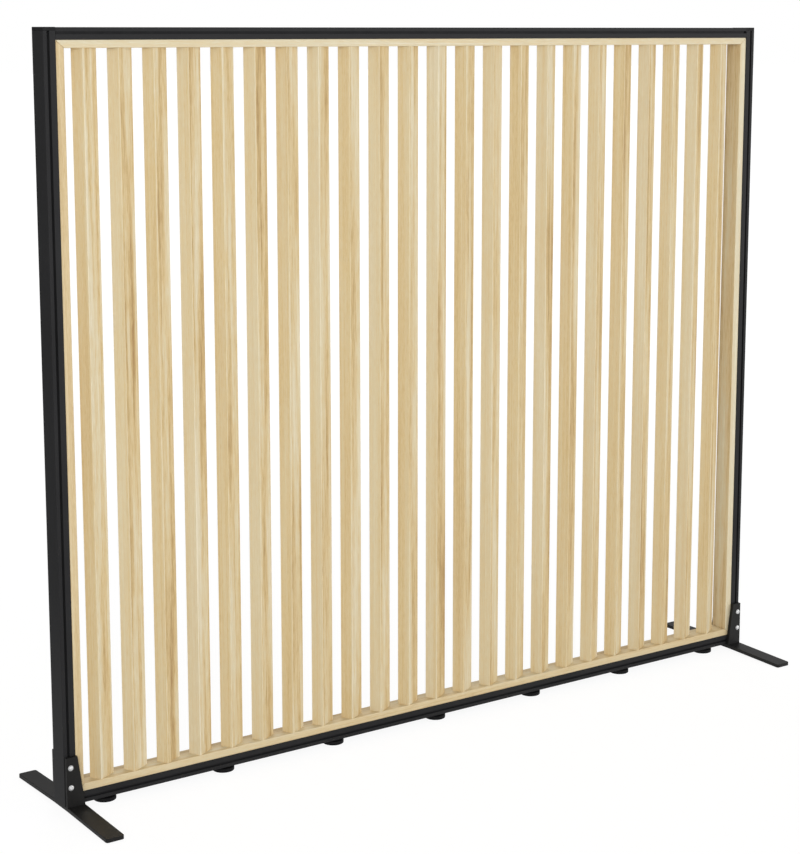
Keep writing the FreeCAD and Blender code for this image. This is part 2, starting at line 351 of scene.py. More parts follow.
@dataclass(frozen=True)
class Timber(Finish):
    """Pale straight-grained timber. It follows the piece's grain, tone and figure attributes; the
    tone also carries painted shade and a painted highlight.
    """

    darkest: Colour = srgb(168, 134, 86)
    brown: Colour = srgb(200, 172, 122)
    middle: Colour = srgb(217, 195, 149)
    pale: Colour = srgb(221, 208, 176)
    palest: Colour = srgb(230, 219, 193)
    ramp_places: tuple[float, ...] = (0.0, 0.28, 0.52, 0.78, 1.0)
    band_stretch: Point = (52.0, 52.0, 2.0)
    mottle_stretch: Point = (230.0, 230.0, 17.0)
    streak_stretch: Point = (540.0, 540.0, 34.0)
    line_stretch: Point = (330.0, 330.0, 0.8)
    fibre_stretch: Point = (1300.0, 1300.0, 60.0)
    pore_stretch: Point = (2400.0, 2400.0, 85.0)
    bend_stretch: Point = (14.0, 14.0, 1.6)
    bend_reach: float = 0.004
    bend_skew: float = 0.6
    band_weight: float = 1.45
    mottle_weight: float = 0.6
    streak_weight: float = 0.5
    line_weight: float = 0.4
    fibre_weight: float = 0.5
    pore_weight: float = 0.18
    pore_level: float = 0.1
    pore_gain: float = 7.0
    roughness: float = 0.52
    fibre_sheen: float = 0.25
    pore_roughness: float = 0.12
    fibre_height: float = 0.6
    line_height: float = 0.4
    pore_depth: float = 0.5
    relief: float = 0.0003
    relief_strength: float = 0.3
    specular: float = 0.35

    def shade(self, graph: ShaderGraph, shader: bpy.types.Node) -> None:
        """Builds bands, mottles, streaks, fibres and pores that run with the grain.

        Args:
            graph: The material's graph.
            shader: Its Principled shader.
        """
        grain = graph.attribute("grain", "Vector")
        tone = graph.signal(graph.attribute("tone"))
        figure = graph.signal(graph.attribute("figure"))
        bend = graph.noise(grain, self.bend_stretch, detail=1.0) * self.bend_reach
        place = graph.vector("ADD", grain, graph.combine(bend, bend * self.bend_skew, 0.0))
        bands = graph.noise(place, self.band_stretch)
        mottles = graph.noise(place, self.mottle_stretch, detail=3.0, roughness=0.6)
        streaks = graph.noise(place, self.streak_stretch)
        lines = graph.noise(place, self.line_stretch, detail=1.0)
        fibres = graph.noise(place, self.fibre_stretch)
        pores = graph.noise(place, self.pore_stretch, detail=1.0)
        pores = ((pores - self.pore_level) * self.pore_gain).limited()
        drawn = bands * self.band_weight + mottles * self.mottle_weight
        drawn = drawn + streaks * self.streak_weight
        shade = tone + figure * drawn + lines * self.line_weight
        shade = shade + fibres * self.fibre_weight - pores * self.pore_weight
        colours = (self.darkest, self.brown, self.middle, self.pale, self.palest)
        settings = {"stops": tuple(zip(self.ramp_places, colours))}
        inputs = {"Fac": shade.limited()}
        colour = graph.out("Color", "ShaderNodeValToRGB", settings, inputs)
        rough = self.roughness - fibres * self.fibre_sheen + pores * self.pore_roughness
        height = fibres * self.fibre_height + lines * self.line_height - pores * self.pore_depth
        graph.cover(shader, colour, rough, graph.bump(height, self.relief_strength, self.relief))
        shader.inputs["Specular IOR Level"].default_value = self.specular


@dataclass(frozen=True)
class PowderCoat(Finish):
    """Baked powder coat: fine orange peel over a near-black pigment."""

    pigment: Colour = srgb(36, 36, 37)
    worn: Colour = srgb(47, 47, 48)
    peel_per_metre: float = 620.0
    speckle_per_metre: float = 2400.0
    drift_per_metre: float = 7.0
    worn_share: float = 0.4
    drift_share: float = 1.1
    speckle_share: float = 0.9
    roughness: float = 0.4
    drift_roughness: float = 0.16
    speckle_roughness: float = 0.12
    speckle_height: float = 0.3
    relief: float = 0.0002
    relief_strength: float = 0.16
    specular: float = 0.06

    def shade(self, graph: ShaderGraph, shader: bpy.types.Node) -> None:
        """Builds the peel, a slow change of pigment and a finer speckle.

        Args:
            graph: The material's graph.
            shader: Its Principled shader.
        """
        place = graph.object_place()
        peel = graph.noise(place, self.peel_per_metre, detail=1.0)
        speckle = graph.noise(place, self.speckle_per_metre, detail=1.0)
        drift = graph.noise(place, self.drift_per_metre)
        share = drift * self.drift_share + speckle * self.speckle_share + self.worn_share
        colour = graph.blend(share.limited(), self.pigment, self.worn)
        rough = drift * self.drift_roughness + speckle * self.speckle_roughness
        height = peel + speckle * self.speckle_height
        normal = graph.bump(height, self.relief_strength, self.relief)
        graph.cover(shader, colour, self.roughness + rough, normal)
        shader.inputs["Specular IOR Level"].default_value = self.specular


@dataclass(frozen=True)
class MouldedPlastic(Finish):
    """Moulded plastic with a fine spark-eroded grain."""

    base: Colour = srgb(30, 30, 31)
    rubbed: Colour = srgb(40, 40, 41)
    grain_per_metre: float = 1500.0
    rub_per_metre: float = 45.0
    rubbed_share: float = 0.35
    rub_share: float = 1.4
    roughness: float = 0.5
    grain_roughness: float = 0.2
    relief: float = 0.00015
    relief_strength: float = 0.22
    specular: float = 0.06

    def shade(self, graph: ShaderGraph, shader: bpy.types.Node) -> None:
        """Builds the mould's grain and a soft rubbed sheen.

        Args:
            graph: The material's graph.
            shader: Its Principled shader.
        """
        place = graph.object_place()
        grain = graph.noise(place, self.grain_per_metre)
        share = graph.noise(place, self.rub_per_metre) * self.rub_share + self.rubbed_share
        colour = graph.blend(share.limited(), self.base, self.rubbed)
        rough = self.roughness + grain * self.grain_roughness
        graph.cover(shader, colour, rough, graph.bump(grain, self.relief_strength, self.relief))
        shader.inputs["Specular IOR Level"].default_value = self.specular


@dataclass(frozen=True)
class PlainBeech(Finish):
    """Unfinished beech, as dowels and biscuits are cut from, with its grain upright."""

    pale: Colour = srgb(206, 176, 130)
    dark: Colour = srgb(184, 148, 102)
    grain_stretch: Point = (900.0, 900.0, 40.0)
    fleck_stretch: Point = (1500.0, 1500.0, 420.0)
    fleck_level: float = 0.12
    fleck_gain: float = 6.0
    dark_share: float = 0.4
    grain_share: float = 1.6
    fleck_share: float = 0.5
    roughness: float = 0.6
    grain_roughness: float = 0.2
    fleck_depth: float = 0.4
    relief: float = 0.0002
    relief_strength: float = 0.2

    def shade(self, graph: ShaderGraph, shader: bpy.types.Node) -> None:
        """Builds the grain and the short flecks that beech has.

        Args:
            graph: The material's graph.
            shader: Its Principled shader.
        """
        place = graph.object_place()
        grain = graph.noise(place, self.grain_stretch)
        flecks = graph.noise(place, self.fleck_stretch, detail=1.0)
        flecks = ((flecks - self.fleck_level) * self.fleck_gain).limited()
        share = grain * self.grain_share + self.dark_share + flecks * self.fleck_share
        colour = graph.blend(share.limited(), self.pale, self.dark)
        rough = self.roughness + grain * self.grain_roughness
        height = grain - flecks * self.fleck_depth
        graph.cover(shader, colour, rough, graph.bump(height, self.relief_strength, self.relief))


@dataclass(frozen=True)
class BareMetal(Finish):
    """Plated or drawn metal, with a fine even grain."""

    base: Colour = srgb(222, 222, 222)
    dull: Colour = srgb(190, 191, 193)
    grain_per_metre: float = 900.0
    dulling_per_metre: float = 160.0
    dull_share: float = 0.3
    dulling_share: float = 1.6
    roughness: float = 0.45
    grain_roughness: float = 0.22
    relief: float = 0.00008
    relief_strength: float = 0.12

    def shade(self, graph: ShaderGraph, shader: bpy.types.Node) -> None:
        """Builds the grain and a slow dulling of the plating.

        Args:
            graph: The material's graph.
            shader: Its Principled shader.
        """
        place = graph.object_place()
        grain = graph.noise(place, self.grain_per_metre)
        share = graph.noise(place, self.dulling_per_metre) * self.dulling_share + self.dull_share
        colour = graph.blend(share.limited(), self.base, self.dull)
        rough = self.roughness + grain * self.grain_roughness
        graph.cover(shader, colour, rough, graph.bump(grain, self.relief_strength, self.relief))
        shader.inputs["Metallic"].default_value = 1.0


PROFILE_COAT = PowderCoat("black_profile_coat", "black_profile")
STEEL_COAT = PowderCoat(
    "black_steel_coat",
    "black_steel",
    srgb(25, 25, 25),
    srgb(36, 35, 34),
    peel_per_metre=760.0,
    roughness=0.42,
    specular=0.14,
)
CAP_PLASTIC = MouldedPlastic("black_cap_plastic", "black_cap")
STRIP_PLASTIC = MouldedPlastic(
    "slot_strip_plastic", "black_cap", srgb(26, 26, 27), srgb(35, 35, 36)
)
PAD_PLASTIC = MouldedPlastic(
    "glide_pad_plastic", "black_plastic", srgb(19, 19, 20), srgb(30, 30, 31)
)
LINER_TIMBER = Timber(
    "liner_timber_finish",
    "liner_timber",
    brown=srgb(198, 173, 128),
    middle=srgb(213, 193, 152),
    pale=srgb(213, 203, 174),
)
SLAT_TIMBER = Timber("slat_timber_finish", "slat_timber")
DOWEL_BEECH = PlainBeech("dowel_beech_finish", "dowel_beech")
BRIGHT_STEEL = BareMetal("bright_screw_finish", "bright_steel")
ZINC_STEEL = BareMetal(
    "zinc_plated_finish", "zinc_steel", srgb(190, 192, 196), srgb(150, 153, 160)
)
KEY_ALUMINIUM = BareMetal(
    "key_aluminium_finish", "key_aluminium", srgb(205, 206, 210), srgb(170, 172, 177)
)


# ---- meshes --------------------------------------------------------------------------------------
MERGE_DISTANCE = 1e-6
FLAT_WITHIN = math.radians(0.4)
SHARP_OVER = math.radians(30)
TURNED_SHARP_OVER = math.radians(40)


def new_object(name: str, mesh: bpy.types.Mesh) -> bpy.types.Object:
    """Puts a mesh in the scene as an object at the origin.

    Args:
        name: The object's name.
        mesh: Its mesh.

    Returns:
        The object.
    """
    made = bpy.data.objects.new(name, mesh)
    bpy.context.scene.collection.objects.link(made)
    return made


def settled(obj: bpy.types.Object) -> bpy.types.Object:
    """Turns an object's modifiers into plain mesh.

    Args:
        obj: An object at the origin, with modifiers.

    Returns:
        The same object, with the finished mesh and no modifiers.
    """
    depsgraph = bpy.context.evaluated_depsgraph_get()
    mesh = bpy.data.meshes.new_from_object(
        obj.evaluated_get(depsgraph), preserve_all_data_layers=True, depsgraph=depsgraph
    )
    obj.modifiers.clear()
    obj.data = mesh
    return obj


def mesh_from(name: str, points: Sequence[Point], faces: Sequence[Sequence[int]]) -> bpy.types.Mesh:
    """Makes a closed mesh whose faces all point outwards.

    Args:
        name: The mesh's name.
        points: Its corners.
        faces: Each face as places in the list of corners.

    Returns:
        The mesh.
    """
    mesh = bpy.data.meshes.new(name)
    mesh.from_pydata([Vector(point) for point in points], [], [list(face) for face in faces])
    work = bmesh.new()
    work.from_mesh(mesh)
    bmesh.ops.recalc_face_normals(work, faces=work.faces)
    work.to_mesh(mesh)
    work.free()
    return mesh


def prism_faces(count: int, rings: int) -> list[Sequence[int]]:
    """Lists the faces of a solid drawn by rings of corners: its two ends, then its walls.

    Args:
        count: Number of corners in a ring.
        rings: Number of rings.

    Returns:
        Each face as places in the list of corners.
    """
    last = (rings - 1) * count
    faces: list[Sequence[int]] = [tuple(range(count)), tuple(range(last, last + count))]
    for near in range(0, last, count):
        far = near + count
        for place in range(count):
            after = (place + 1) % count
            faces.append((near + place, near + after, far + after, far + place))
    return faces


def softened(node: str, name: str, radius: float, steps: int = 3) -> bpy.types.Object:
    """Copies a CAD node and rounds its sharp edges.

    Args:
        node: The CAD node to copy.
        name: The new piece's name.
        radius: Width of the rounding.
        steps: Number of faces across the rounding.

    Returns:
        The new piece, which is not yet on a body.
    """
    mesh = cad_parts[node].data.copy()
    work = bmesh.new()
    work.from_mesh(mesh)
    bmesh.ops.remove_doubles(work, verts=work.verts, dist=MERGE_DISTANCE)
    bmesh.ops.dissolve_limit(
        work, angle_limit=FLAT_WITHIN, verts=work.verts, edges=work.edges
    )
    work.to_mesh(mesh)
    work.free()
    mesh.materials.clear()
    made = new_object(name, mesh)
    bevel = made.modifiers.new("rounding", "BEVEL")
    bevel.width = radius
    bevel.segments = steps
    bevel.limit_method = "ANGLE"
    bevel.angle_limit = SHARP_OVER
    bevel.use_clamp_overlap = True
    weight = made.modifiers.new("even_shading", "WEIGHTED_NORMAL")
    weight.keep_sharp = True
    for face in made.data.polygons:
        face.use_smooth = True
    return settled(made)


@dataclass(frozen=True)
class Ring:
    """One ring of a turned piece: a circle, or a hexagon measured across its flats."""

    radius: float
    height: float
    hexagonal: bool = False

    def points(self, steps: int) -> list[Point]:
        """Works out the ring's corners about the Z axis.

        Args:
            steps: Number of corners.

        Returns:
            The corners.
        """
        found = []
        for step in range(steps):
            angle = 2 * math.pi * step / steps
            reach = self.radius
            if self.hexagonal:
                reach /= math.cos((angle + math.pi / 6) % (math.pi / 3) - math.pi / 6)
            found.append((reach * math.cos(angle), reach * math.sin(angle), self.height))
        return found


def arc(
    centre: tuple[float, float], across: float, up: float, first: float, turn: float, steps: int
) -> list[tuple[float, float]]:
    """Lists places along an arc, with both of its ends.

    Args:
        centre: The arc's centre.
        across: Its radius along the first axis.
        up: Its radius along the second axis.
        first: Angle of its first place, in degrees.
        turn: Angle that it runs through, in degrees.
        steps: Number of steps along it.

    Returns:
        The places.
    """
    angles = [math.radians(first + turn * step / steps) for step in range(steps + 1)]
    return [
        (centre[0] + across * math.cos(angle), centre[1] + up * math.sin(angle))
        for angle in angles
    ]


def turned(name: str, rings: Sequence[Ring], steps: int) -> bpy.types.Mesh:
    """Makes a closed piece about the Z axis from its rings, as on a lathe.

    Args:
        name: The mesh's name.
        rings: The rings from the bottom round to the last one, which are closed with a point each.
        steps: Number of corners in a ring.

    Returns:
        The mesh, smooth between its sharp edges.
    """
    points: list[Point] = [(0.0, 0.0, rings[0].height)]
    faces: list[Sequence[int]] = []
    for ring in rings:
        points += ring.points(steps)
    points.append((0.0, 0.0, rings[-1].height))
    last = len(points) - 1
    for step in range(steps):
        after = (step + 1) % steps
        faces.append((0, 1 + after, 1 + step))
        for row in range(len(rings) - 1):
            low = 1 + row * steps
            high = low + steps
            faces.append((low + step, low + after, high + after, high + step))
        top = 1 + (len(rings) - 1) * steps
        faces.append((top + step, top + after, last))
    mesh = mesh_from(name, points, faces)
    mesh.shade_smooth()
    mesh.set_sharp_from_angle(angle=TURNED_SHARP_OVER)
    return mesh


def fill_attribute(
    mesh: bpy.types.Mesh, name: str, kind: str, domain: str, values: Sequence[float]
) -> None:
    """Gives a mesh an attribute.

    Args:
        mesh: The mesh.
        name: The attribute's name.
        kind: FLOAT or FLOAT_VECTOR.
        domain: POINT or FACE.
        values: The numbers, three to a vector.
    """
    attribute = mesh.attributes.new(name, kind, domain)
    attribute.data.foreach_set("vector" if kind == "FLOAT_VECTOR" else "value", values)


class ShapeGraph(Graph):
    """A Geometry Nodes tree with named inputs, which ends in one mesh of one material."""

    def __init__(self, name: str) -> None:
        """Makes the empty tree with its way in and out.

        Args:
            name: The tree's name.
        """
        tree = bpy.data.node_groups.new(name, "GeometryNodeTree")
        tree.is_modifier = True
        super().__init__(tree)
        tree.interface.new_socket("Geometry", in_out="INPUT", socket_type="NodeSocketGeometry")
        tree.interface.new_socket("Geometry", in_out="OUTPUT", socket_type="NodeSocketGeometry")
        self.entry = self.add("NodeGroupInput")
        self.identifiers: dict[str, str] = {}
        self.option("Material", "NodeSocketMaterial")

    def option(self, name: str, kind: str = "NodeSocketFloat") -> bpy.types.NodeSocket:
        """Adds a named input to the tree.

        Args:
            name: The input's name.
            kind: The socket's type.

        Returns:
            Its socket inside the tree.
        """
        item = self.tree.interface.new_socket(name, in_out="INPUT", socket_type=kind)
        self.identifiers[name] = item.identifier
        return self.entry.outputs[name]

    def number(self, name: str, kind: str = "NodeSocketFloat") -> Signal:
        """Adds a named number to the tree, ready for arithmetic."""
        return self.signal(self.option(name, kind))

    def numbers(self, *names: str, kind: str = "NodeSocketFloat") -> list[Signal]:
        """Adds several named numbers of one kind."""
        return [self.number(name, kind) for name in names]

    def store(
        self, geometry: Any, name: str, value: Any, kind: str = "FLOAT", domain: str = "POINT"
    ) -> bpy.types.NodeSocket:
        """Writes an attribute on to a geometry.

        Args:
            geometry: The geometry.
            name: The attribute's name.
            value: Its value.
            kind: FLOAT or FLOAT_VECTOR.
            domain: POINT, FACE or INSTANCE.

        Returns:
            The geometry with the attribute.
        """
        settings = {"data_type": kind, "domain": domain}
        inputs = {"Geometry": geometry, "Name": name, "Value": value}
        return self.out("Geometry", "GeometryNodeStoreNamedAttribute", settings, inputs)

    def read(self, name: str, kind: str = "FLOAT") -> bpy.types.NodeSocket:
        """Reads an attribute of the geometry that is being worked on."""
        settings = {"data_type": kind}
        return self.out("Attribute", "GeometryNodeInputNamedAttribute", settings, {"Name": name})

    def swept(self, line: Any, profile: Any) -> bpy.types.NodeSocket:
        """Sweeps a profile along a line, with both ends closed."""
        inputs = {"Curve": line, "Profile Curve": profile, "Fill Caps": True}
        return self.out("Mesh", "GeometryNodeCurveToMesh", None, inputs)

    def copied(self, points: Any, piece: Any, euler: Any) -> bpy.types.NodeSocket:
        """Sets a piece on every point.

        Args:
            points: The points.
            piece: The piece.
            euler: How the piece is turned there, as angles about X, Y and Z.

        Returns:
            The instances.
        """
        rotation = self.out("Rotation", "FunctionNodeEulerToRotation", None, {"Euler": euler})
        inputs = {"Points": points, "Instance": piece, "Rotation": rotation}
        return self.out("Instances", "GeometryNodeInstanceOnPoints", None, inputs)

    def real(self, instances: Any) -> bpy.types.NodeSocket:
        """Turns instances into mesh."""
        inputs = {"Geometry": instances}
        return self.out("Geometry", "GeometryNodeRealizeInstances", None, inputs)

    def close(self, geometry: Any) -> None:
        """Ends the tree: instances become mesh, and the mesh gets its material.

        Args:
            geometry: What the tree has made.
        """
        inputs = {"Geometry": self.real(geometry), "Material": self.entry.outputs["Material"]}
        dressed = self.out("Geometry", "GeometryNodeSetMaterial", None, inputs)
        self.add("NodeGroupOutput", None, {"Geometry": dressed})

    def made(
        self, name: str, values: Mapping[str, Any], places: Optional[bpy.types.Mesh] = None
    ) -> bpy.types.Object:
        """Runs the tree and keeps its result as plain mesh.

        Args:
            name: The new piece's name.
            values: A value for each of the tree's named inputs.
            places: The mesh that the tree starts from, if it needs one.

        Returns:
            The new piece, with no modifier.
        """
        host = bpy.data.objects.new(name, places or bpy.data.meshes.new(name))
        modifier = host.modifiers.new("shape", "NODES")
        modifier.node_group = self.tree
        for key, value in values.items():
            modifier[self.identifiers[key]] = value
        bpy.context.scene.collection.objects.link(host)
        return settled(host)


class CopyTree(ShapeGraph):
    """Copies of one piece on points, each turned about Z by the point's turn attribute."""

    def __init__(self) -> None:
        """Builds the tree."""
        super().__init__("copies_on_points")
        piece = self.option("Piece", "NodeSocketObject")
        lean = self.number("Lean")
        source = self.out("Geometry", "GeometryNodeObjectInfo", None, {"Object": piece})
        euler = self.combine(lean, 0.0, self.read("turn"))
        self.close(self.copied(self.entry.outputs["Geometry"], source, euler))

    def spread(
        self,
        name: str,
        piece: bpy.types.Mesh,
        finish: Finish,
        places: Sequence[tuple[Point, float]],
        lean: float = 0.0,
    ) -> bpy.types.Object:
        """Sets a piece at each place.

        Args:
            name: The new object's name.
            piece: The piece's mesh.
            finish: Its finish.
            places: Each place, with the turn about Z there in radians.
            lean: Turn about X before that, in radians.

        Returns:
            One object that holds all the copies.
        """
        pattern = new_object(name + "_pattern", piece)
        points = bpy.data.meshes.new(name + "_places")
        points.from_pydata([Vector(place) for place, _ in places], [], [])
        fill_attribute(points, "turn", "FLOAT", "POINT", [turn for _, turn in places])
        values = {"Material": finish.material(), "Piece": pattern, "Lean": lean}
        made = self.made(name, values, points)
        bpy.data.objects.remove(pattern)
        return made


# ---- what every sub-assembly does ----------------------------------------------------------------
def dress(piece: bpy.types.Object, finish: Finish) -> None:
    """Gives a whole piece one finish.

    Args:
        piece: The piece.
        finish: Its finish.
    """
    material = finish.material()
    piece.data.materials.clear()
    piece.data.materials.append(material)


def stand_for(piece: bpy.types.Object, body: str, *nodes: str) -> bpy.types.Object:
    """Puts a piece on its body in place of the CAD nodes that it shows.

    Args:
        piece: The piece.
        body: The body that it rides on.
        nodes: The CAD nodes that it stands for.

    Returns:
        The same piece.
    """
    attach(piece, body)
    if nodes:
        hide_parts(*nodes)
    LOG.info("%s: %d faces, on %s", piece.name, len(piece.data.polygons), body)
    return piece


def keep_node(node: str, finish: Finish) -> None:
    """Keeps a CAD node as it is and gives it a finish.

    Args:
        node: The CAD node.
        finish: Its finish.
    """
    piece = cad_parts[node]
    material = finish.material()
    for place in piece.material_slots:
        place.material = material
    if not piece.material_slots:
        piece.data.materials.append(material)
    LOG.info("%s: CAD node, %s", node, finish.name)


# ---- black frame ---------------------------------------------------------------------------------
@dataclass
class BlackFrame:
    """Posts, rails, caps and the strip that covers the top rail's slots."""

    cap_rounding: float = 0.0005
    slot_centre: float = 0.0102
    strip_width: float = 0.0051
    strip_thickness: float = 0.0016
    strip_recess: float = 0.0003
    strip_crown: float = 0.0002
    strip_left_gap: float = 0.0005
    strip_right_gap: float = 0.009

    def build(self) -> None:
        """Makes and dresses every piece of the frame."""
        for node in ("post_left", "post_right", "bottom_rail", "top_rail"):
            keep_node(node, PROFILE_COAT)
        for end in End:
            node = f"post_cap_{end.name.lower()}"
            cap = softened(node, f"end_{node}", self.cap_rounding)
            dress(cap, CAP_PLASTIC)
            stand_for(cap, SCREEN, node)
        for side in Side:
            strip = new_object(f"top_slot_strip_{side.name.lower()}", self.strip(side))
            dress(strip, STRIP_PLASTIC)
            stand_for(strip, SCREEN)

    def strip(self, side: Side) -> bpy.types.Mesh:
        """Makes the slightly crowned strip in the mouth of one of the top rail's slots.

        Args:
            side: The side of the screen that the slot is on.

        Returns:
            The strip's mesh.
        """
        low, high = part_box("top_rail")
        middle = high.z - self.slot_centre
        face = high.y - self.strip_recess
        start = low.x + self.strip_left_gap
        end = high.x - self.strip_right_gap
        outline = [
            (face - self.strip_thickness, -self.strip_width / 2),
            (face - self.strip_crown, -self.strip_width / 2),
            (face, -self.strip_width / 4),
            (face, self.strip_width / 4),
            (face - self.strip_crown, self.strip_width / 2),
            (face - self.strip_thickness, self.strip_width / 2),
        ]
        points = [(x, side.value * y, middle + z) for x in (start, end) for y, z in outline]
        return mesh_from(f"strip_{side.name.lower()}", points, prism_faces(len(outline), 2))


# ---- timber liner --------------------------------------------------------------------------------
@dataclass
class TimberLiner:
    """Four mitred members with eased arrises, grooved for the frame's tongue."""

    groove_half: float = 0.0052
    groove_depth: float = 0.0042
    inner_arris: float = 0.0016
    outer_arris: float = 0.0006
    arris_steps: int = 4
    joint_gap: float = 0.00025
    joint_chamfer: float = 0.0005
    jamb_left_tone: float = 0.41
    jamb_right_tone: float = 0.74
    head_tone: float = 0.71
    sill_tone: float = 0.58
    # Painted shade: darker tone for the faces other than front and back.
    painted_shade_tone: float = 0.49
    face_figure: float = 0.4
    inner_figure: float = 0.9
    face_over: float = 0.6
    grain_steps: Point = (0.31, 0.47, 2.3)

    def build(self) -> None:
        """Makes the two jambs, the sill and the head."""
        tones = {
            "liner_jamb_left": self.jamb_left_tone,
            "liner_jamb_right": self.jamb_right_tone,
            "liner_sill": self.sill_tone,
            "liner_head": self.head_tone,
        }
        for number, (node, tone) in enumerate(tones.items()):
            name = f"timber_{node.removeprefix('liner_')}"
            piece = new_object(name, self.member(node, tone, number))
            dress(piece, LINER_TIMBER)
            stand_for(piece, SCREEN, node)

    def section(self, depth_half: float, thickness: float) -> list[tuple[float, float]]:
        """Draws a member's section, with its eased arrises and its groove.

        Args:
            depth_half: Half of the member's depth.
            thickness: Its height over its outer face.

        Returns:
            The section's corners, as depth and height over the outer face.
        """
        found: list[tuple[float, float]] = []
        corners = (
            (-depth_half, 0.0, self.outer_arris, 270.0),
            (-depth_half, thickness, self.inner_arris, 180.0),
            (depth_half, thickness, self.inner_arris, 90.0),
            (depth_half, 0.0, self.outer_arris, 0.0),
        )
        for depth, height, radius, first in corners:
            centre = (
                depth - math.copysign(radius, depth),
                radius if height == 0.0 else height - radius,
            )
            found += arc(centre, radius, radius, first, -90.0, self.arris_steps)
        found += [
            (self.groove_half, 0.0),
            (self.groove_half, self.groove_depth),
            (-self.groove_half, self.groove_depth),
            (-self.groove_half, 0.0),
        ]
        return found

    def member(self, node: str, tone: float, number: int) -> bpy.types.Mesh:
        """Makes one member of the liner in its place.

        Args:
            node: The CAD node that gives its place and size.
            tone: How light its timber is, from 0 to 1.
            number: Sets where in the timber its grain lies.

        Returns:
            The member's mesh, with its grain, tone and figure; the faces other than front and back
            carry painted shade.
        """
        low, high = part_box(node)
        upright = "jamb" in node
        across, along = (0, 2) if upright else (2, 0)
        thickness = high[across] - low[across]
        jamb_low, jamb_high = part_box("liner_jamb_left")
        sill_low, sill_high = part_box("liner_sill")
        jamb = jamb_high.x - jamb_low.x
        sill = sill_high.z - sill_low.z
        lean = sill / jamb if upright else jamb / sill
        outer_is_low = node in ("liner_jamb_left", "liner_sill")
        outer = low[across] if outer_is_low else high[across]
        inward = 1.0 if outer_is_low else -1.0
        section = self.section(high.y, thickness)
        middle_height = thickness / 2
        points: list[Point] = []
        grains: list[float] = []
        stations = (
            (low[along], 1.0, self.joint_gap, self.joint_chamfer),
            (low[along], 1.0, self.joint_gap + self.joint_chamfer, 0.0),
            (high[along], -1.0, self.joint_gap + self.joint_chamfer, 0.0),
            (high[along], -1.0, self.joint_gap, self.joint_chamfer),
        )
        for start, direction, gap, inset in stations:
            pull = 1.0 - inset / high.y
            shrink = 1.0 - inset / middle_height
            for depth, height in section:
                set_depth = depth * pull
                set_height = middle_height + (height - middle_height) * shrink
                run = start + direction * (gap + set_height * lean)
                point = [0.0, set_depth, 0.0]
                point[across] = outer + inward * set_height
                point[along] = run
                points.append((point[0], point[1], point[2]))
                within = (set_height, set_depth, run)
                grains += [at + step * number for at, step in zip(within, self.grain_steps)]
        mesh = mesh_from(node, points, prism_faces(len(section), len(stations)))
        on_face = [abs(face.normal.y) > self.face_over for face in mesh.polygons]
        # Painted shade: the faces other than the front and back get a darker tone.
        tones = [tone if flat else self.painted_shade_tone for flat in on_face]
        figures = [self.face_figure if flat else self.inner_figure for flat in on_face]
        fill_attribute(mesh, "grain", "FLOAT_VECTOR", "POINT", grains)
        fill_attribute(mesh, "tone", "FLOAT", "FACE", tones)
        fill_attribute(mesh, "figure", "FLOAT", "FACE", figures)
        return mesh


